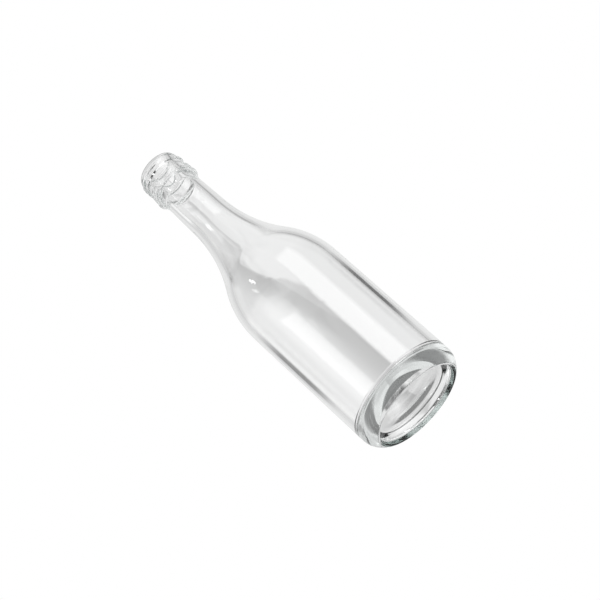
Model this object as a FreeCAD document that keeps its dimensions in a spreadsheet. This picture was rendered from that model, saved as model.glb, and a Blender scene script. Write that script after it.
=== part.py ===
# A small clear glass wine bottle with a screw finish: one piece of glass, revolved about Z.
# z = 0 is the bearing ring that it stands on. Lengths are in millimetres, angles in degrees.
import FreeCAD, Part
import math
import os
import Sketcher

# The driving dimensions: alias in the sheet, value, what it is.
SIZES = (
    ("bodyDiameter", 64.4, "straight body, outside"),
    ("bodyHeight", 94.0, "bearing ring to the start of the shoulder"),
    ("bodyWall", 3.7, "glass at the straight body"),
    ("heelRadius", 10.3, "round between the base and the body"),
    ("heelCut", 1.65, "how much of the full heel round the bearing plane cuts away"),
    ("bearingWidth", 1.9, "bearing ring, heel to punt"),
    ("bearingOuterRound", 1.5, "edge of the bearing ring towards the heel"),
    ("bearingInnerRound", 1.0, "edge of the bearing ring towards the punt"),
    ("puntRingDepth", 1.6, "straight ring wall at the mouth of the punt"),
    ("puntWallRun", 2.8, "how far the punt's sloping wall leans in"),
    ("puntWallHeight", 4.0, "height of the punt's sloping wall"),
    ("puntCrown", 2.6, "rise of the punt's ceiling to its middle"),
    ("puntMouthRound", 0.8, "between the ring wall and the sloping wall"),
    ("puntCeilingRound", 1.0, "between the sloping wall and the ceiling"),
    ("baseGlass", 5.0, "glass between the punt and the cavity, at the axis"),
    ("floorFall", 0.8, "fall of the cavity's floor from its middle to its rim"),
    ("floorCornerRound", 2.4, "between the cavity's floor and its wall"),
    ("shoulderRadius", 57.0, "convex arc of the shoulder, outside"),
    ("flareRadius", 92.0, "hollow arc from the shoulder into the neck, outside"),
    ("flareWall", 3.3, "glass where the shoulder turns into the neck"),
    ("boreDiameter", 17.4, "bore of the neck and the mouth"),
    ("neckWall", 3.3, "glass of the neck just under the finish"),
    ("neckTaper", 1.7, "slope of the neck's side to the axis"),
    ("neckLength", 23.1, "tapered neck, end of the flare to the finish"),
    ("finishUnderside", 4.7, "neck to the lower edge of the band"),
    ("undersideRound", 5.0, "hollow round between the neck and the underside"),
    ("rootWall", 3.9, "glass of the wall that carries the screw thread"),
    ("bandStand", 1.4, "how far the plain band stands out of that wall"),
    ("bandHeight", 5.6, "plain band, lower to upper edge"),
    ("bandLowerRound", 0.9, "lower edge of the band"),
    ("bandUpperRound", 0.65, "upper edge of the band"),
    ("ledgeStand", 0.4, "how far the low ledge on the band stands out of the thread's wall"),
    ("ledgeHeight", 1.5, "height of that ledge"),
    ("ledgeRound", 0.3, "upper edge of the ledge"),
    ("threadZoneHeight", 11.6, "ledge to the top of the lip"),
    ("lipRound", 2.3, "outer round of the lip"),
    ("mouthRound", 1.0, "inner round of the lip"),
)

doc = FreeCAD.newDocument("WineBottle")
sheet = doc.addObject("Spreadsheet::Sheet", "Sizes")
for row, (alias, value, note) in enumerate(SIZES, start=1):
    sheet.set(f"A{row}", note)
    sheet.set(f"B{row}", str(value))
    sheet.setAlias(f"B{row}", alias)
doc.recompute()


def size(alias):
    """The number in the cell with this alias."""
    return float(getattr(sheet, alias))


def cell(formula):
    """An expression on the sheet: every alias in the formula is read from its cell."""
    for alias, _, _ in sorted(SIZES, key=lambda item: -len(item[0])):
        formula = formula.replace(alias, "Sizes." + alias)
    return formula


def originPart(body, role):
    """The body's own plane or axis with this role."""
    return next(item for item in body.Origin.OriginFeatures if item.Role == role)


class ProfileSketch:
    """A closed half profile in the XZ plane: x is the radius, y is the height."""

    def __init__(self, body, name):
        self.sketch = body.newObject("Sketcher::SketchObject", name)
        self.sketch.AttachmentSupport = (originPart(body, "XZ_Plane"), [""])
        self.sketch.MapMode = "FlatFace"

    def line(self, start, end):
        ends = [FreeCAD.Vector(x, y, 0) for x, y in (start, end)]
        return self.sketch.addGeometry(Part.LineSegment(*ends), False)

    def arc(self, centre, radius, startAngle, endAngle):
        circle = Part.Circle(FreeCAD.Vector(*centre, 0), FreeCAD.Vector(0, 0, 1), radius)
        return self.sketch.addGeometry(Part.ArcOfCircle(circle, startAngle, endAngle), False)

    def hold(self, kind, *where):
        """A constraint with no size, such as Coincident, Tangent, Horizontal or Vertical."""
        self.sketch.addConstraint(Sketcher.Constraint(kind, *where))

    def measure(self, kind, where, name, value, formula):
        """A named constraint whose size is bound to the sheet."""
        index = self.sketch.addConstraint(Sketcher.Constraint(kind, *where, value))
        self.sketch.renameConstraint(index, name)
        self.sketch.setExpression("Constraints." + name, cell(formula))

    def ladder(self, corners):
        """Joins corners (radius, height) with lines into a closed loop that starts on the axis."""
        lines = [self.line(a, b) for a, b in zip(corners, corners[1:] + corners[:1])]
        for one, other in zip(lines, lines[1:] + lines[:1]):
            self.hold("Coincident", one, 2, other, 1)
        return lines

    def place(self, geometry, point, name, radius=None, height=None):
        """Puts one end of a line at a radius and a height, each a (value, formula) pair."""
        if radius:
            self.measure("DistanceX", (-1, 1, geometry, point), name + "Radius", *radius)
        if height:
            self.measure("DistanceY", (-1, 1, geometry, point), name + "Height", *height)


def revolve(body, kind, name, profile):
    """A full turn of the profile about the bottle's axis, added or cut."""
    doc.recompute()
    before = body.Shape.Volume if body.Tip else 0.0
    feature = body.newObject("PartDesign::" + kind, name)
    feature.Profile = (profile.sketch, [""])
    feature.ReferenceAxis = (profile.sketch, ["V_Axis"])
    feature.Angle = 360
    profile.sketch.Visibility = False
    doc.recompute()
    grown = feature.Shape.Volume - before
    if (grown > 0) != (kind == "Revolution"):
        raise RuntimeError(name + " did not change the glass as it should")
    return feature


def roundRings(body, name, formula, rings):
    """A fillet of one radius on circular edges, each found by its (radius, height)."""
    base = body.Tip
    picked = []
    for radius, height in rings:
        for index, edge in enumerate(base.Shape.Edges, start=1):
            if edge.Degenerated or not isinstance(edge.Curve, Part.Circle):
                continue
            curve = edge.Curve
            if abs(curve.Radius - radius) < 0.01 and abs(curve.Center.z - height) < 0.01:
                picked.append(f"Edge{index}")
    if len(picked) < len(rings):
        raise RuntimeError(name + " misses an edge")
    feature = body.newObject("PartDesign::Fillet", name)
    feature.Base = (base, picked)
    feature.setExpression("Radius", cell(formula))
    doc.recompute()
    return feature


# Where the arcs of the outside meet. The shoulder's arc is centred level with its start, and the
# flare's arc touches both the shoulder's arc and the tapered side of the neck.
bodyRadius = size("bodyDiameter") / 2
heelHeight = size("heelRadius") - size("heelCut")
heelCentre = (bodyRadius - size("heelRadius"), heelHeight)
heelFootAngle = -math.asin(heelHeight / size("heelRadius"))
heelFoot = heelCentre[0] + size("heelRadius") * math.cos(heelFootAngle)
taper = math.radians(size("neckTaper"))
boreRadius = size("boreDiameter") / 2
neckTop = boreRadius + size("neckWall")
neckFoot = neckTop + size("neckLength") * math.tan(taper)


def shoulderArcs(shoulder, flare, wallFoot, wallSlope):
    """Centres of the shoulder's and the flare's arcs, and the angle of the line through them.

    wallFoot is the radius where the flare runs into the neck's side, and wallSlope its slope.
    """
    centre = (bodyRadius - size("shoulderRadius"), size("bodyHeight"))
    flareX = wallFoot + flare * math.cos(wallSlope)
    across = flareX - centre[0]
    angle = math.acos(across / (shoulder + flare))
    return centre, (flareX, centre[1] + across * math.tan(angle)), angle


shoulderCentre, flareCentre, meetAngle = shoulderArcs(
    size("shoulderRadius"), size("flareRadius"), neckFoot, taper)
neckFootHeight = flareCentre[1] - size("flareRadius") * math.sin(taper)
neckTopHeight = neckFootHeight + size("neckLength")
bandLower = neckTopHeight + size("finishUnderside")
bandUpper = bandLower + size("bandHeight")
ledgeUpper = bandUpper + size("ledgeHeight")
lipTop = ledgeUpper + size("threadZoneHeight")

bottle = doc.addObject("PartDesign::Body", "Bottle")
bottle.Label = "bottle"

# Outside of the bottle from the bearing plane to the top of the neck.
outside = ProfileSketch(bottle, "OutsideProfile")
base = outside.line((0, 0), (heelFoot, 0))
heel = outside.arc(heelCentre, size("heelRadius"), heelFootAngle, 0)
wall = outside.line((bodyRadius, heelHeight), (bodyRadius, size("bodyHeight")))
shoulder = outside.arc(shoulderCentre, size("shoulderRadius"), 0, meetAngle)
flare = outside.arc(flareCentre, size("flareRadius"), math.pi + taper, math.pi + meetAngle)
neck = outside.line((neckFoot, neckFootHeight), (neckTop, neckTopHeight))
top = outside.line((neckTop, neckTopHeight), (0, neckTopHeight))
axis = outside.line((0, neckTopHeight), (0, 0))
outside.hold("Coincident", base, 1, -1, 1)
outside.hold("Horizontal", base)
outside.hold("Coincident", base, 2, heel, 1)
outside.hold("Tangent", heel, 2, wall, 1)
outside.hold("Vertical", wall)
outside.hold("Tangent", wall, 2, shoulder, 1)
outside.hold("Tangent", shoulder, 2, flare, 2)
outside.hold("Tangent", flare, 1, neck, 1)
outside.hold("Coincident", neck, 2, top, 1)
outside.hold("Horizontal", top)
outside.hold("Coincident", top, 2, axis, 1)
outside.hold("Coincident", axis, 2, -1, 1)
outside.hold("Vertical", axis)
outside.measure("Radius", (heel,), "heelRound", size("heelRadius"), "heelRadius")
outside.measure("Radius", (shoulder,), "shoulderArc", size("shoulderRadius"), "shoulderRadius")
outside.measure("Radius", (flare,), "flareArc", size("flareRadius"), "flareRadius")
outside.place(wall, 1, "heelTop", (bodyRadius, "bodyDiameter / 2"),
              (heelHeight, "heelRadius - heelCut"))
outside.place(wall, 2, "shoulderStart", height=(size("bodyHeight"), "bodyHeight"))
outside.place(neck, 1, "neckFoot", radius=(
    neckFoot, "boreDiameter / 2 + neckWall + neckLength * tan(neckTaper * 1 deg)"))
outside.place(neck, 2, "neckTop", radius=(neckTop, "boreDiameter / 2 + neckWall"))
outside.measure("DistanceY", (neck, 1, neck, 2), "neckRun", size("neckLength"), "neckLength")
revolve(bottle, "Revolution", "OuterForm", outside)

# The finish: sloping underside, plain band, low ledge and the wall that carries the thread. The
# heights are chained from one corner to the next.
finish = ProfileSketch(bottle, "FinishProfile")
rootRadius = boreRadius + size("rootWall")
ledgeRadius = rootRadius + size("ledgeStand")
bandRadius = rootRadius + size("bandStand")
rungs = finish.ladder([(0, neckTopHeight), (neckTop, neckTopHeight), (bandRadius, bandLower),
                       (bandRadius, bandUpper), (ledgeRadius, bandUpper),
                       (ledgeRadius, ledgeUpper), (rootRadius, ledgeUpper),
                       (rootRadius, lipTop), (0, lipTop)])
floor, underside, band, bandTop, ledge, ledgeTop, root, lip, core = rungs
finish.hold("PointOnObject", floor, 1, -2)
finish.hold("PointOnObject", lip, 2, -2)
for level in (floor, bandTop, ledgeTop, lip):
    finish.hold("Horizontal", level)
for upright in (band, ledge, root):
    finish.hold("Vertical", upright)
finish.sketch.addExternal("OutsideProfile", f"Edge{neck + 1}")
finish.hold("Coincident", floor, 2, -3, 2)
finish.place(band, 1, "band", radius=(bandRadius, "boreDiameter / 2 + rootWall + bandStand"))
finish.place(ledge, 1, "ledge", radius=(ledgeRadius, "boreDiameter / 2 + rootWall + ledgeStand"))
finish.place(root, 1, "root", radius=(rootRadius, "boreDiameter / 2 + rootWall"))
for line, name, alias in ((underside, "underside", "finishUnderside"),
                          (band, "bandRun", "bandHeight"),
                          (ledge, "ledgeRun", "ledgeHeight"),
                          (root, "threadZone", "threadZoneHeight")):
    finish.measure("DistanceY", (line, 1, line, 2), name, size(alias), alias)
revolve(bottle, "Revolution", "Finish", finish)

# The punt: a short straight ring wall, a sloping wall and a slightly domed ceiling.
puntMouth = heelFoot - size("bearingWidth")
ceilingEdge = puntMouth - size("puntWallRun")
ceilingHeight = size("puntRingDepth") + size("puntWallHeight")


def crown(edgeRadius, rise):
    """Radius of the arc that rises this much from its edge to its middle on the axis."""
    return (edgeRadius ** 2 + rise ** 2) / (2 * rise)


puntTop = ceilingHeight + size("puntCrown")
puntCrownRadius = crown(ceilingEdge, size("puntCrown"))
punt = ProfileSketch(bottle, "PuntProfile")
mouth = punt.line((0, 0), (puntMouth, 0))
ring = punt.line((puntMouth, 0), (puntMouth, size("puntRingDepth")))
slope = punt.line((puntMouth, size("puntRingDepth")), (ceilingEdge, ceilingHeight))
ceiling = punt.arc((0, puntTop - puntCrownRadius), puntCrownRadius,
                   math.acos(ceilingEdge / puntCrownRadius), math.pi / 2)
puntAxis = punt.line((0, puntTop), (0, 0))
punt.hold("Coincident", mouth, 1, -1, 1)
punt.hold("Horizontal", mouth)
punt.hold("Coincident", mouth, 2, ring, 1)
punt.hold("Vertical", ring)
punt.hold("Coincident", ring, 2, slope, 1)
punt.hold("Coincident", slope, 2, ceiling, 1)
punt.hold("Coincident", ceiling, 2, puntAxis, 1)
punt.hold("Coincident", puntAxis, 2, -1, 1)
punt.hold("Vertical", puntAxis)
punt.hold("PointOnObject", ceiling, 3, -2)
punt.sketch.addExternal("OutsideProfile", f"Edge{base + 1}")
punt.measure("DistanceX", (ring, 1, -3, 2), "bearing", size("bearingWidth"), "bearingWidth")
punt.place(ring, 2, "ring", height=(size("puntRingDepth"), "puntRingDepth"))
punt.measure("DistanceX", (slope, 2, slope, 1), "wallRun", size("puntWallRun"), "puntWallRun")
punt.measure("DistanceY", (slope, 1, slope, 2), "wallRise", size("puntWallHeight"),
             "puntWallHeight")
punt.measure("DistanceY", (slope, 2, ceiling, 2), "ceilingRise", size("puntCrown"), "puntCrown")
revolve(bottle, "Groove", "Punt", punt)

# The cavity: domed floor, straight wall, shoulder and flare that follow the outside a wall inside
# it, and the bore up through the mouth.
cavityRadius = bodyRadius - size("bodyWall")
innerShoulder = size("shoulderRadius") - size("bodyWall")
innerFlare = size("flareRadius") + size("flareWall")
innerCentre, innerFlareCentre, innerAngle = shoulderArcs(innerShoulder, innerFlare, boreRadius, 0)
floorTop = puntTop + size("baseGlass")
floorRim = floorTop - size("floorFall")
floorCrownRadius = crown(cavityRadius, size("floorFall"))
cavity = ProfileSketch(bottle, "CavityProfile")
floorArc = cavity.arc((0, floorTop - floorCrownRadius), floorCrownRadius,
                      math.acos(cavityRadius / floorCrownRadius), math.pi / 2)
side = cavity.line((cavityRadius, floorRim), (cavityRadius, size("bodyHeight")))
innerArc = cavity.arc(innerCentre, innerShoulder, 0, innerAngle)
innerFlareArc = cavity.arc(innerFlareCentre, innerFlare, math.pi, math.pi + innerAngle)
bore = cavity.line((boreRadius, innerFlareCentre[1]), (boreRadius, lipTop))
mouthLine = cavity.line((boreRadius, lipTop), (0, lipTop))
cavityAxis = cavity.line((0, lipTop), (0, floorTop))
cavity.hold("Coincident", floorArc, 1, side, 1)
cavity.hold("Vertical", side)
cavity.hold("Tangent", side, 2, innerArc, 1)
cavity.hold("Tangent", innerArc, 2, innerFlareArc, 2)
cavity.hold("Tangent", innerFlareArc, 1, bore, 1)
cavity.hold("Vertical", bore)
cavity.hold("Coincident", bore, 2, mouthLine, 1)
cavity.hold("Horizontal", mouthLine)
cavity.hold("Coincident", mouthLine, 2, cavityAxis, 1)
cavity.hold("Coincident", cavityAxis, 2, floorArc, 2)
cavity.hold("PointOnObject", cavityAxis, 1, -2)
cavity.hold("PointOnObject", cavityAxis, 2, -2)
cavity.hold("PointOnObject", floorArc, 3, -2)
cavity.sketch.addExternal("FinishProfile", f"Edge{lip + 1}")
cavity.hold("PointOnObject", mouthLine, 1, -3)
cavity.measure("Radius", (innerArc,), "shoulderArc", innerShoulder, "shoulderRadius - bodyWall")
cavity.measure("Radius", (innerFlareArc,), "flareArc", innerFlare, "flareRadius + flareWall")
cavity.place(side, 2, "side", (cavityRadius, "bodyDiameter / 2 - bodyWall"),
             (size("bodyHeight"), "bodyHeight"))
cavity.place(bore, 1, "bore", radius=(boreRadius, "boreDiameter / 2"))
cavity.place(cavityAxis, 2, "floorTop", height=(
    floorTop, "puntRingDepth + puntWallHeight + puntCrown + baseGlass"))
cavity.measure("DistanceY", (side, 1, floorArc, 2), "floorFall", size("floorFall"), "floorFall")
revolve(bottle, "Groove", "Cavity", cavity)

# Rounded edges, from the base up to the lip.
roundRings(bottle, "BearingOuterEdge", "bearingOuterRound", [(heelFoot, 0)])
roundRings(bottle, "BearingInnerEdge", "bearingInnerRound", [(puntMouth, 0)])
roundRings(bottle, "PuntMouthEdge", "puntMouthRound", [(puntMouth, size("puntRingDepth"))])
roundRings(bottle, "PuntCeilingEdge", "puntCeilingRound", [(ceilingEdge, ceilingHeight)])
roundRings(bottle, "FloorCorner", "floorCornerRound", [(cavityRadius, floorRim)])
roundRings(bottle, "UndersideCorner", "undersideRound", [(neckTop, neckTopHeight)])
roundRings(bottle, "BandLowerEdge", "bandLowerRound", [(bandRadius, bandLower)])
roundRings(bottle, "BandUpperEdge", "bandUpperRound", [(bandRadius, bandUpper)])
roundRings(bottle, "LedgeEdge", "ledgeRound", [(ledgeRadius, ledgeUpper)])
roundRings(bottle, "LipOuterEdge", "min(lipRound; rootWall - mouthRound - 0.05)",
           [(rootRadius, lipTop)])
roundRings(bottle, "LipInnerEdge", "mouthRound", [(boreRadius, lipTop)])

# Every object has to be sound, and the bottle one closed solid, before it is written.
doc.recompute()
failed = [item.Name for item in doc.Objects if {"Invalid", "Error"} & set(item.State)]
if failed:
    raise RuntimeError("not computed: " + ", ".join(failed))
glass = bottle.Shape
if glass.isNull() or not glass.isValid() or len(glass.Solids) != 1:
    raise RuntimeError("the bottle is not one sound solid")

os.makedirs("parts", exist_ok=True)
glass.exportStep(os.path.join("parts", bottle.Label + ".step"))
glassVolume = glass.Volume / 1000
box = glass.optimalBoundingBox()
print(f"height {box.ZMax:.2f} mm, across {box.XLength:.2f} mm")
print(f"glass {glassVolume:.1f} ml, {glassVolume * 2.5:.0f} g")
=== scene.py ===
import bpy
import math
import numpy as np
from mathutils import Matrix, Vector


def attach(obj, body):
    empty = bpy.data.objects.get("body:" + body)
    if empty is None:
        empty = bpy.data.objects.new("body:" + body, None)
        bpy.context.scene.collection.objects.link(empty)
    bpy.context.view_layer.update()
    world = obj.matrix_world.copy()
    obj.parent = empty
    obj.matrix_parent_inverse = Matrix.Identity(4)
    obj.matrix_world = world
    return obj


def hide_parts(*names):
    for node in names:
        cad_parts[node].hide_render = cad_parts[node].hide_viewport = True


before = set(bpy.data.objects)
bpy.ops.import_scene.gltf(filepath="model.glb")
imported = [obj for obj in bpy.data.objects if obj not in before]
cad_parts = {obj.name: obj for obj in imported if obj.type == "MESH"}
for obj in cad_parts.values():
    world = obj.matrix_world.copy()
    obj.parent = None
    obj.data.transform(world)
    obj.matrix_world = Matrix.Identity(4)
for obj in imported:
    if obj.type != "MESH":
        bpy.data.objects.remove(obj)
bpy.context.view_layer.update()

mm = 0.001
sameRadius = 1e-6     # two radii closer than this are the same, in millimetres
straightTurn = 1e-5   # an outline that turns less than this is straight, in radians

# Glass outline in millimetres, as the bottle is made: walls, rounds and steps, from base to lip.
bottleSizes = {
    "bodyRadius": 32.2, "bodyHeight": 94.0, "bodyWall": 3.7,
    "heelRadius": 10.3, "heelCut": 1.65, "bearingOuterRound": 1.5, "bearingInnerRound": 1.0,
    "bearingWidth": 1.9, "puntRingDepth": 1.6, "puntWallRun": 2.8, "puntWallHeight": 4.0,
    "puntCrown": 2.6, "puntMouthRound": 0.8, "puntCeilingRound": 1.0,
    "baseGlass": 3.6, "floorFall": 0.4, "floorCornerRound": 1.6,
    "shoulderRadius": 57.0, "flareRadius": 92.0, "flareWall": 3.3,
    "boreRadius": 8.7, "neckWall": 3.3, "neckTaper": 1.7, "neckLength": 23.1,
    "finishUnderside": 4.7, "undersideRound": 5.0,
    "rootWall": 3.9, "bandStand": 1.4, "bandHeight": 5.6, "bandLowerRound": 0.5,
    "bandUpperRound": 0.65, "bandFootRound": 0.15,
    "ledgeStand": 0.4, "ledgeHeight": 1.5, "ledgeRound": 0.3, "ledgeFootRound": 0.08,
    "threadZoneHeight": 11.6, "lipRound": 2.3, "mouthRound": 1.0,
    "segments": 256,      # round the axis
    "turnPerRow": 3.0,    # degrees of outline turn between two rows
    "longestRow": 5.0,    # most outline length between two rows
}

# Screw thread: low turns of a right-hand ridge, in millimetres and degrees.
threadSizes = {
    "pitch": 3.175, "turns": 1.75, "height": 1.25, "halfWidth": 0.95,
    "crestShare": 0.4,    # share of the width that is flat on top
    "topBelowLip": 4.3, "startAngle": 300.0,
    "clearBelow": 0.1, "clearAbove": 0.05,    # plain wall left at the ledge and at the lip's round
    "runOut": 80.0,       # degrees over which an end fades into the wall
    "rowStep": 0.12,      # between two rows of the mesh
}

# Fine mould lines on the outside of the finish: the edge that each is near, its height over that
# edge, how far it stands out and its half width, in millimetres.
mouldLines = {
    "lines": [
        ("bandLower", 0.14, 0.38, 0.42),
        ("bandUpper", 0.04, -0.22, 0.30),
        ("ledgeUpper", 0.04, 0.20, 0.30),
        ("lip", -2.66, 0.22, 0.35),
    ],
    "rowStep": 0.05,      # between two rows of the mesh
    "rowReach": 1.3,      # rows stand close this many half widths to either side
}

# How finely the outline is drawn before its rows are picked, in millimetres.
drawSteps = {"long": 0.1, "fine": 0.02, "round": 0.03}


def lineStretch(start, end, step=drawSteps["fine"]):
    count = max(2, int(math.dist(start, end) / step))
    share = np.linspace(0, 1, count + 1)[:, None]
    return np.array(start) * (1 - share) + np.array(end) * share


def arcStretch(centre, radius, fromAngle, toAngle, step=drawSteps["long"]):
    count = max(8, int(abs(toAngle - fromAngle) * radius / step))
    angles = np.linspace(fromAngle, toAngle, count + 1)
    return np.column_stack([centre[0] + radius * np.cos(angles), centre[1] + radius * np.sin(angles)])


def sideNormals(points):
    along = np.gradient(points, axis=0)
    along /= np.linalg.norm(along, axis=1)[:, None]
    return np.column_stack([-along[:, 1], along[:, 0]])


def roundCorner(before, after, radius):
    # An arc that touches both stretches: its centre lies one radius off each of them.
    into, out = before[-1] - before[-2], after[1] - after[0]
    side = radius if into[0] * out[1] > into[1] * out[0] else -radius
    offBefore = before + side * sideNormals(before)
    offAfter = after + side * sideNormals(after)
    gaps = np.linalg.norm(offBefore[:, None] - offAfter[None], axis=2)
    i, j = np.unravel_index(np.argmin(gaps), gaps.shape)
    centre = (offBefore[i] + offAfter[j]) / 2
    start, end = before[i] - centre, after[j] - centre
    fromAngle = math.atan2(start[1], start[0])
    turn = (math.atan2(end[1], end[0]) - fromAngle + math.pi) % (2 * math.pi) - math.pi
    arc = arcStretch(centre, radius, fromAngle, fromAngle + turn, drawSteps["round"])
    return before[:i + 1], arc, after[j:]


def joinStretches(stretches):
    # Each stretch comes with the round that joins it to the one before; 0 where they run on smoothly.
    done = [stretches[0][0]]
    for points, radius in stretches[1:]:
        if radius:
            head, arc, tail = roundCorner(done[-1], points, radius)
            done[-1:] = [head, arc[1:-1], tail]
        else:
            done.append(points[1:])
    return np.vstack(done)


def bottleOutline(sizes):
    bodyRadius, bodyHeight = sizes["bodyRadius"], sizes["bodyHeight"]
    heelRadius, shoulderRadius, flareRadius = (
        sizes["heelRadius"], sizes["shoulderRadius"], sizes["flareRadius"])
    heelCentre = (bodyRadius - heelRadius, heelRadius - sizes["heelCut"])
    footAngle = -math.asin(heelCentre[1] / heelRadius)
    foot = heelCentre[0] + heelRadius * math.cos(footAngle)

    mouth, ringDepth = foot - sizes["bearingWidth"], sizes["puntRingDepth"]
    ceilingEdge = (mouth - sizes["puntWallRun"], ringDepth + sizes["puntWallHeight"])
    crownRadius = (ceilingEdge[0] ** 2 + sizes["puntCrown"] ** 2) / (2 * sizes["puntCrown"])
    ceilingTop = ceilingEdge[1] + sizes["puntCrown"]

    taper = math.radians(sizes["neckTaper"])
    bore = sizes["boreRadius"]
    neckTop = bore + sizes["neckWall"]
    neckFoot = neckTop + sizes["neckLength"] * math.tan(taper)
    shoulderCentre = (bodyRadius - shoulderRadius, bodyHeight)

    def flareFor(shoulder, flare, footRadius, slope):
        # Where the hollow arc's centre lies, and at what angle it meets the shoulder.
        centreX = footRadius + flare * math.cos(slope)
        across = centreX - shoulderCentre[0]
        angle = math.acos(across / (shoulder + flare))
        return (centreX, bodyHeight + across * math.tan(angle)), angle

    flareCentre, meet = flareFor(shoulderRadius, flareRadius, neckFoot, taper)
    neckFootHeight = flareCentre[1] - flareRadius * math.sin(taper)
    neckHeight = neckFootHeight + sizes["neckLength"]
    root = bore + sizes["rootWall"]
    band, ledge = root + sizes["bandStand"], root + sizes["ledgeStand"]
    bandLower = neckHeight + sizes["finishUnderside"]
    bandUpper = bandLower + sizes["bandHeight"]
    ledgeUpper = bandUpper + sizes["ledgeHeight"]
    lip = ledgeUpper + sizes["threadZoneHeight"]

    cavity = bodyRadius - sizes["bodyWall"]
    innerShoulder = shoulderRadius - sizes["bodyWall"]
    innerFlare = flareRadius + sizes["flareWall"]
    innerCentre, innerMeet = flareFor(innerShoulder, innerFlare, bore, 0.0)
    floorTop = ceilingTop + sizes["baseGlass"]
    floorRadius = (cavity ** 2 + sizes["floorFall"] ** 2) / (2 * sizes["floorFall"])
    floorRim = floorTop - sizes["floorFall"]

    stretches = [
        # Outside, from the middle of the punt to the lip.
        (arcStretch((0, ceilingTop - crownRadius), crownRadius, math.pi / 2,
                    math.acos(ceilingEdge[0] / crownRadius)), 0),
        (lineStretch(ceilingEdge, (mouth, ringDepth)), sizes["puntCeilingRound"]),
        (lineStretch((mouth, ringDepth), (mouth, 0)), sizes["puntMouthRound"]),
        (lineStretch((mouth, 0), (foot, 0)), sizes["bearingInnerRound"]),
        (arcStretch(heelCentre, heelRadius, footAngle, 0, drawSteps["fine"]),
         sizes["bearingOuterRound"]),
        (lineStretch((bodyRadius, heelCentre[1]), (bodyRadius, bodyHeight), drawSteps["long"]), 0),
        (arcStretch(shoulderCentre, shoulderRadius, 0, meet), 0),
        (arcStretch(flareCentre, flareRadius, math.pi + meet, math.pi + taper), 0),
        (lineStretch((neckFoot, neckFootHeight), (neckTop, neckHeight)), 0),
        (lineStretch((neckTop, neckHeight), (band, bandLower)), sizes["undersideRound"]),
        (lineStretch((band, bandLower), (band, bandUpper)), sizes["bandLowerRound"]),
        (lineStretch((band, bandUpper), (ledge, bandUpper)), sizes["bandUpperRound"]),
        (lineStretch((ledge, bandUpper), (ledge, ledgeUpper)), sizes["bandFootRound"]),
        (lineStretch((ledge, ledgeUpper), (root, ledgeUpper)), sizes["ledgeRound"]),
        (lineStretch((root, ledgeUpper), (root, lip)), sizes["ledgeFootRound"]),
        (lineStretch((root, lip), (bore, lip)), sizes["lipRound"]),
        # Inside, from the mouth to the middle of the floor.
        (lineStretch((bore, lip), (bore, innerCentre[1])), sizes["mouthRound"]),
        (arcStretch(innerCentre, innerFlare, math.pi, math.pi + innerMeet), 0),
        (arcStretch(shoulderCentre, innerShoulder, innerMeet, 0), 0),
        (lineStretch((cavity, bodyHeight), (cavity, floorRim), drawSteps["long"]), 0),
        (arcStretch((0, floorTop - floorRadius), floorRadius, math.acos(cavity / floorRadius),
                    math.pi / 2), sizes["floorCornerRound"]),
    ]
    marks = {
        "bandLower": bandLower, "bandUpper": bandUpper, "ledgeUpper": ledgeUpper, "lip": lip,
        "root": root, "midWall": (bore + root) / 2,
    }
    return joinStretches(stretches), marks


def onThreadWall(radius, height, marks):
    # True on the plain wall that the thread stands on.
    foot = marks["ledgeUpper"] + threadSizes["clearBelow"]
    head = marks["lip"] - bottleSizes["lipRound"] - threadSizes["clearAbove"]
    return (np.abs(radius - marks["root"]) < sameRadius) & (height > foot) & (height < head)


def onMouldLine(radius, height, marks):
    return radius > marks["midWall"] and any(
        abs(height - marks[edge] - rise) < halfWidth * mouldLines["rowReach"]
        for edge, rise, stand, halfWidth in mouldLines["lines"])


def pickRows(outline, marks, sizes):
    # Rows stand close where the outline turns, far apart where it is straight, and evenly at the thread.
    steps = np.diff(outline, axis=0)
    headings = np.unwrap(np.arctan2(steps[:, 1], steps[:, 0]))
    kept, turned, run = [0], 0.0, 0.0
    straight = True
    for i in range(1, len(outline) - 1):
        turn = abs(headings[i] - headings[i - 1])
        turned += turn
        run += math.dist(outline[i], outline[i - 1])
        if onMouldLine(*outline[i], marks):
            limit = mouldLines["rowStep"]
        elif onThreadWall(*outline[i], marks):
            limit = threadSizes["rowStep"]
        else:
            limit = sizes["longestRow"]
        changed = straight != (turn < straightTurn)
        straight = turn < straightTurn
        if turned > math.radians(sizes["turnPerRow"]) or run > limit or changed:
            kept.append(i)
            turned, run = 0.0, 0.0
    kept.append(len(outline) - 1)
    return outline[kept]


def smoothStep(share):
    return share * share * (3 - 2 * share)


def threadLift(angle, height, lip, thread):
    # How far the ridge stands out of the wall at an angle and a height.
    lift = np.zeros_like(angle)
    start = math.radians(thread["startAngle"])
    length = thread["turns"] * 2 * math.pi
    fade = math.radians(thread["runOut"])
    for lap in range(int(thread["turns"]) + 1):
        along = (start - angle) % (2 * math.pi) + lap * 2 * math.pi
        centre = lip - thread["topBelowLip"] - thread["pitch"] * along / (2 * math.pi)
        off = np.abs(height - centre) / thread["halfWidth"]
        slope = np.clip((1 - off) / (1 - thread["crestShare"]), 0, 1)
        ends = np.clip(np.minimum(along, length - along) / fade, 0, 1)
        lift = np.maximum(lift, thread["height"] * smoothStep(slope) * smoothStep(ends))
    return lift


def mouldLift(radius, height, marks):
    # How far the mould lines stand out of the outside of the finish, or into it where below 0.
    lift = np.zeros_like(radius)
    for edge, rise, stand, halfWidth in mouldLines["lines"]:
        share = np.clip(1 - ((height - marks[edge] - rise) / halfWidth) ** 2, 0, 1)
        lift += np.where(radius > marks["midWall"], stand * share * share, 0)
    return lift


def addObject(name, data):
    made = bpy.data.objects.new(name, data)
    bpy.context.scene.collection.objects.link(made)
    return made


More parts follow.
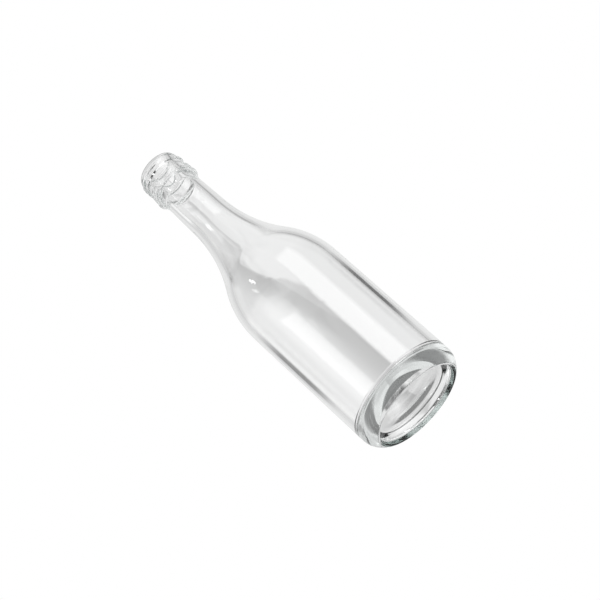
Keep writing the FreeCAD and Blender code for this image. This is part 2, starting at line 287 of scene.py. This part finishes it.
def makeBottle():
    # Each row of the outline is a ring, and the first and last are points on the axis.
    outline, marks = bottleOutline(bottleSizes)
    rows = pickRows(outline, marks, bottleSizes)
    count = bottleSizes["segments"]
    angles = np.arange(count) * 2 * math.pi / count
    inner = rows[1:-1]
    radii = np.repeat(inner[:, :1], count, axis=1)
    heights = np.repeat(inner[:, 1:], count, axis=1)
    turns = np.repeat(angles[None], len(inner), axis=0)
    ridge = threadLift(turns, heights, marks["lip"], threadSizes)
    radii = (radii + np.where(onThreadWall(radii, heights, marks), ridge, 0)
             + mouldLift(radii, heights, marks))
    rings = np.stack([radii * np.cos(turns), radii * np.sin(turns), heights], axis=2).reshape(-1, 3)
    points = np.vstack([[[0, 0, rows[0][1]]], rings, [[0, 0, rows[-1][1]]]]) * mm
    top = len(points) - 1
    faces = []
    for i in range(count):
        j = (i + 1) % count
        faces.append((0, 1 + j, 1 + i))
        for ring in range(len(inner) - 1):
            low, high = 1 + ring * count, 1 + (ring + 1) * count
            faces.append((low + i, low + j, high + j, high + i))
        last = 1 + (len(inner) - 1) * count
        faces.append((last + i, last + j, top))
    mesh = bpy.data.meshes.new("bottleGlass")
    mesh.from_pydata(points.tolist(), [], faces)
    mesh.polygons.foreach_set("use_smooth", [True] * len(faces))
    mesh.update()
    print("bottle:", len(inner), "rows,", len(faces), "faces")
    return addObject("bottle_glass", mesh)


def emptyTree(owner):
    # Node tree of a material or a world with its first nodes taken out.
    owner.use_nodes = True
    owner.node_tree.nodes.clear()
    return owner.node_tree.nodes, owner.node_tree.links


def mixShaders(nodes, links, mask, low, high):
    # The low shader where the mask is 0 and the high one where it is 1.
    mix = nodes.new("ShaderNodeMixShader")
    links.new(mask, mix.inputs["Fac"])
    links.new(low, mix.inputs[1])
    links.new(high, mix.inputs[2])
    return mix.outputs["Shader"]


# Clear glass: tint is what its thickness takes away, per metre, and the waves are a faint unevenness.
glassLook = {
    "ior": 1.52, "roughness": 0.0, "tint": (0.82, 0.865, 0.855), "density": 10.0,
    "waveScale": 28.0, "waveDetail": 1.0, "waveStrength": 0.006, "waveHeight": 1 * mm,
    "shadowTint": (0.93, 0.95, 0.94, 1.0),
}


def makeGlass():
    material = bpy.data.materials.new("clearGlass")
    nodes, links = emptyTree(material)
    output = nodes.new("ShaderNodeOutputMaterial")
    surface = nodes.new("ShaderNodeBsdfPrincipled")
    surface.inputs["Base Color"].default_value = (1, 1, 1, 1)
    surface.inputs["Roughness"].default_value = glassLook["roughness"]
    surface.inputs["IOR"].default_value = glassLook["ior"]
    surface.inputs["Transmission Weight"].default_value = 1.0
    place = nodes.new("ShaderNodeTexCoord")
    wave = nodes.new("ShaderNodeTexNoise")
    wave.inputs["Scale"].default_value = glassLook["waveScale"]
    wave.inputs["Detail"].default_value = glassLook["waveDetail"]
    bump = nodes.new("ShaderNodeBump")
    bump.inputs["Strength"].default_value = glassLook["waveStrength"]
    bump.inputs["Distance"].default_value = glassLook["waveHeight"]
    links.new(place.outputs["Object"], wave.inputs["Vector"])
    links.new(wave.outputs["Fac"], bump.inputs["Height"])
    links.new(bump.outputs["Normal"], surface.inputs["Normal"])
    path = nodes.new("ShaderNodeLightPath")
    clear = nodes.new("ShaderNodeBsdfTransparent")    # lets the lamp's light through to the floor
    clear.inputs["Color"].default_value = glassLook["shadowTint"]
    shell = mixShaders(nodes, links, path.outputs["Is Shadow Ray"], surface.outputs["BSDF"],
                       clear.outputs["BSDF"])
    links.new(shell, output.inputs["Surface"])
    absorb = nodes.new("ShaderNodeVolumeAbsorption")
    absorb.inputs["Color"].default_value = (*glassLook["tint"], 1)
    absorb.inputs["Density"].default_value = glassLook["density"]
    links.new(absorb.outputs["Volume"], output.inputs["Volume"])
    print("glass: clear, with a faint tint")
    return material


glass = makeBottle()
glass.data.materials.append(makeGlass())
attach(glass, "root")
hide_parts("bottle")

# Camera: below the bottle's foot and looking up past it, rolled so that the neck points away to the
# left. Places in metres, angles in degrees, lens in millimetres.
cameraPlace = {
    "behind": 0.8794, "below": 0.3510, "aside": -0.0005, "pitch": 26.63, "roll": 47.86,
    "lens": 111.0, "sensorWidth": 36.0, "clip": (0.05, 50.0),
}


def makeCamera():
    data = bpy.data.cameras.new("camera")
    data.lens = cameraPlace["lens"]
    data.sensor_width = cameraPlace["sensorWidth"]
    data.clip_start, data.clip_end = cameraPlace["clip"]
    camera = addObject("camera", data)
    spot = Vector((cameraPlace["aside"], -cameraPlace["behind"], -cameraPlace["below"]))
    turn = (Matrix.Rotation(math.radians(90 + cameraPlace["pitch"]), 4, "X")
            @ Matrix.Rotation(math.radians(-cameraPlace["roll"]), 4, "Z"))
    camera.matrix_world = Matrix.Translation(spot) @ turn
    bpy.context.scene.camera = camera


# Light levels of the world, where 1 is white: between the panels, on everything that isn't glass,
# and what the camera sees behind the bottle.
studioLevels = {"base": 0.66, "plain": 0.8, "seen": 1.0}

# What glass sees of the studio round it: how far right of the camera's side and how high each
# panel is, its half width and half height, the softness of its left, right and upright edges, all
# in degrees, its lean (right per degree up), and its light level. Each one is laid over those
# before it.
panelSockets = ("Centre", "Height", "Half Width", "Half Height", "Soft Left", "Soft Right",
                "Soft Upright", "Lean", "Level")
studioPanels = [
    ("backdrop", 180, 15, 34, 42, 20, 20, 20, 0.0, 0.83),
    ("backMid", 185, -2, 52, 14, 24, 24, 4, 0.0, 0.70),
    ("backLow", 185, -38, 52, 23, 24, 24, 5, 0.0, 0.24),
    ("backGlow", 183.5, 19, 3, 8.5, 2, 3, 2, 0.0, 0.92),
    ("backShade", 179.75, 12.5, 1.45, 14.1, 0.4, 6, 1, 0.0, 0.58),
    ("backShadeHigh", 186.2, 32.3, 1.5, 6.1, 0.8, 6, 0.4, 1.10, 0.62),
    ("roofShade", 180, 64, 90, 12, 20, 20, 6, 0.0, 0.12),
    ("backTop", 176, 44, 4, 8, 6, 4, 6, 0.0, 0.95),
    ("backTopShade", 180.3, 44, 0.6, 9, 1.2, 1.0, 3, 0.0, 0.60),
    ("highRight", 115, 72, 50, 20, 24, 24, 20, 0.0, 0.90),
    ("midRight", 74, 50, 40, 14, 16, 16, 14, 0.0, 0.95),
    ("leftWall", -79, 2, 49, 28, 10, 10, 8, 0.0, 1.08),
    ("leftLow", -30, -24, 38, 18, 16, 16, 12, 0.0, 1.15),
    ("overhead", 2, 56, 46, 30, 6, 20, 10, 0.0, 1.05),
    ("upperDarkLeft", -66, 53, 20, 23, 4, 4, 6, 0.0, 0.10),
    ("upperDarkRight", -44, 51, 20, 23.5, 6, 2, 3, -0.85, 0.05),
    ("rightLow", 110, -35, 34, 16, 16, 16, 16, 0.0, 0.75),
    ("cameraGap", 12, 8, 12, 17, 44, 2, 1, 0.0, 0.08),
    ("cameraGapTop", -4, 26.3, 14, 1.8, 16, 3, 1, -11.0, 0.15),
    ("lowGap", 40, -24, 24, 8, 6, 6, 5, 0.0, 0.05),
    ("sideGapRight", 128, 20, 6, 45, 6, 6, 20, 0.0, 0.36),
    ("sideGapLeft", -140, 25.2, 9, 1.2, 6, 6, 1.4, 0.0, 0.2),
    ("smudgeRight", 136, 25.2, 9, 1.2, 6, 6, 1.4, 0.0, 0.1),
    ("softboxFoot", 34, 6, 14, 12, 4, 12, 4, 0.0, 0.95),
    ("softbox", 48, 28, 20, 15, 2, 2, 3, 0.0, 2.20),
    ("spotHigh", -45, 46, 2.5, 3, 1, 1, 1, -0.6, 9.0),
    ("spotLow", -51, 36, 1.6, 3, 1, 1, 1, -0.6, 4.0),
]


def mathNode(nodes, links, operation, *values):
    # A value that is a number is set, and one that is a socket is linked.
    node = nodes.new("ShaderNodeMath")
    node.operation = operation
    for socket, value in zip(node.inputs, values):
        if isinstance(value, (int, float)):
            socket.default_value = value
        else:
            links.new(value, socket)
    return node.outputs[0]


def makePanelGroup():
    # One panel of studio light laid over the light that comes in.
    group = bpy.data.node_groups.new("studioPanel", "ShaderNodeTree")
    for name in ("Light", "Azimuth", "Elevation", *panelSockets):
        group.interface.new_socket(name, in_out="INPUT", socket_type="NodeSocketFloat")
    group.interface.new_socket("Light", in_out="OUTPUT", socket_type="NodeSocketFloat")
    nodes, links = group.nodes, group.links
    given = nodes.new("NodeGroupInput").outputs
    result = nodes.new("NodeGroupOutput")

    def calc(operation, *values):
        return mathNode(nodes, links, operation, *values)

    def fade(distance, half, soft):
        # 1 inside the edge and 0 outside it, with the softness spread evenly over it.
        edge = nodes.new("ShaderNodeMapRange")
        edge.interpolation_type = "SMOOTHSTEP"
        links.new(distance, edge.inputs["Value"])
        links.new(calc("ADD", half, calc("MULTIPLY", soft, 0.5)), edge.inputs["From Min"])
        links.new(calc("SUBTRACT", half, calc("MULTIPLY", soft, 0.5)), edge.inputs["From Max"])
        return edge.outputs["Result"]

    up = calc("SUBTRACT", given["Elevation"], given["Height"])
    middle = calc("ADD", given["Centre"], calc("MULTIPLY", up, given["Lean"]))
    across = calc("WRAP", calc("SUBTRACT", given["Azimuth"], middle), 180.0, -180.0)
    left = fade(calc("MULTIPLY", across, -1.0), given["Half Width"], given["Soft Left"])
    right = fade(across, given["Half Width"], given["Soft Right"])
    upright = fade(calc("ABSOLUTE", up), given["Half Height"], given["Soft Upright"])
    mask = calc("MULTIPLY", calc("MULTIPLY", left, right), upright)
    gain = calc("MULTIPLY", mask, calc("SUBTRACT", given["Level"], given["Light"]))
    links.new(calc("ADD", given["Light"], gain), result.inputs["Light"])
    return group


def makeWorld():
    world = bpy.data.worlds.new("studio")
    bpy.context.scene.world = world
    nodes, links = emptyTree(world)
    place = nodes.new("ShaderNodeTexCoord")
    parts = nodes.new("ShaderNodeSeparateXYZ")
    links.new(place.outputs["Generated"], parts.inputs["Vector"])
    front = mathNode(nodes, links, "MULTIPLY", parts.outputs["Y"], -1.0)
    turn = mathNode(nodes, links, "ARCTAN2", parts.outputs["X"], front)
    azimuth = mathNode(nodes, links, "DEGREES", turn)
    lift = mathNode(nodes, links, "ARCSINE", parts.outputs["Z"])
    elevation = mathNode(nodes, links, "DEGREES", lift)
    group = makePanelGroup()
    light = None
    for name, *values in studioPanels:
        panel = nodes.new("ShaderNodeGroup")
        panel.node_tree = group
        panel.label = name
        if light:
            links.new(light, panel.inputs["Light"])
        else:
            panel.inputs["Light"].default_value = studioLevels["base"]
        links.new(azimuth, panel.inputs["Azimuth"])
        links.new(elevation, panel.inputs["Elevation"])
        for socket, value in zip(panelSockets, values):
            panel.inputs[socket].default_value = value
        light = panel.outputs["Light"]

    def background(strength):
        node = nodes.new("ShaderNodeBackground")
        node.inputs["Color"].default_value = (1, 1, 1, 1)
        if isinstance(strength, float):
            node.inputs["Strength"].default_value = strength
        else:
            links.new(strength, node.inputs["Strength"])
        return node.outputs["Background"]

    # Glass sees the panels, the camera sees white, and everything else gets a plain level.
    path = nodes.new("ShaderNodeLightPath")
    sharp = mathNode(nodes, links, "MAXIMUM", path.outputs["Is Glossy Ray"],
                     path.outputs["Is Transmission Ray"])
    around = mixShaders(nodes, links, sharp, background(studioLevels["plain"]), background(light))
    seen = mixShaders(nodes, links, path.outputs["Is Camera Ray"], around,
                      background(studioLevels["seen"]))
    output = nodes.new("ShaderNodeOutputWorld")
    links.new(seen, output.inputs["Surface"])
    print("studio:", len(studioPanels), "panels")


# The lamp beside the camera: sizes and places in metres, how far right of the camera's side and how
# high it is in degrees.
softboxLamp = {
    "power": 2.5, "size": (0.8, 1.0), "distance": 1.0, "right": 47.0, "up": 30.0, "aimHeight": 0.08,
}


def makeLamp():
    data = bpy.data.lights.new("softboxRight", "AREA")
    data.shape = "RECTANGLE"
    data.size, data.size_y = softboxLamp["size"]
    data.energy = softboxLamp["power"]
    lamp = addObject("softboxRight", data)
    side, lift = math.radians(softboxLamp["right"]), math.radians(softboxLamp["up"])
    aim = Vector((math.sin(side) * math.cos(lift), -math.cos(side) * math.cos(lift), math.sin(lift)))
    lamp.location = aim * softboxLamp["distance"] + Vector((0, 0, softboxLamp["aimHeight"]))
    lamp.rotation_euler = aim.to_track_quat("Z", "Y").to_euler()
    lamp.visible_glossy = False           # glass has the softbox panel in its place
    lamp.visible_transmission = False


floorLook = {"size": 3.0, "colour": (0.86, 0.86, 0.86, 1)}


def makeFloor():
    # Pale from above, and gone from below, where the camera looks up through it.
    half = floorLook["size"] / 2
    mesh = bpy.data.meshes.new("floor")
    mesh.from_pydata([(-half, -half, 0), (half, -half, 0), (half, half, 0), (-half, half, 0)], [],
                     [(0, 1, 2, 3)])
    floor = addObject("floor", mesh)
    material = bpy.data.materials.new("paleFloor")
    nodes, links = emptyTree(material)
    output = nodes.new("ShaderNodeOutputMaterial")
    plain = nodes.new("ShaderNodeBsdfDiffuse")
    plain.inputs["Color"].default_value = floorLook["colour"]
    gone = nodes.new("ShaderNodeBsdfTransparent")
    side = nodes.new("ShaderNodeNewGeometry")
    sheet = mixShaders(nodes, links, side.outputs["Backfacing"], plain.outputs["BSDF"],
                       gone.outputs["BSDF"])
    links.new(sheet, output.inputs["Surface"])
    mesh.materials.append(material)
    floor.visible_glossy = False
    floor.visible_transmission = False


makeCamera()
makeWorld()
makeLamp()
makeFloor()
scene = bpy.context.scene
scene.view_settings.view_transform = "Standard"
lightBounces = 32     # enough for light to cross every wall of the bottle
scene.cycles.max_bounces = lightBounces
scene.cycles.transmission_bounces = lightBounces
scene.cycles.glossy_bounces = lightBounces
print("stage: camera, lamp and floor")
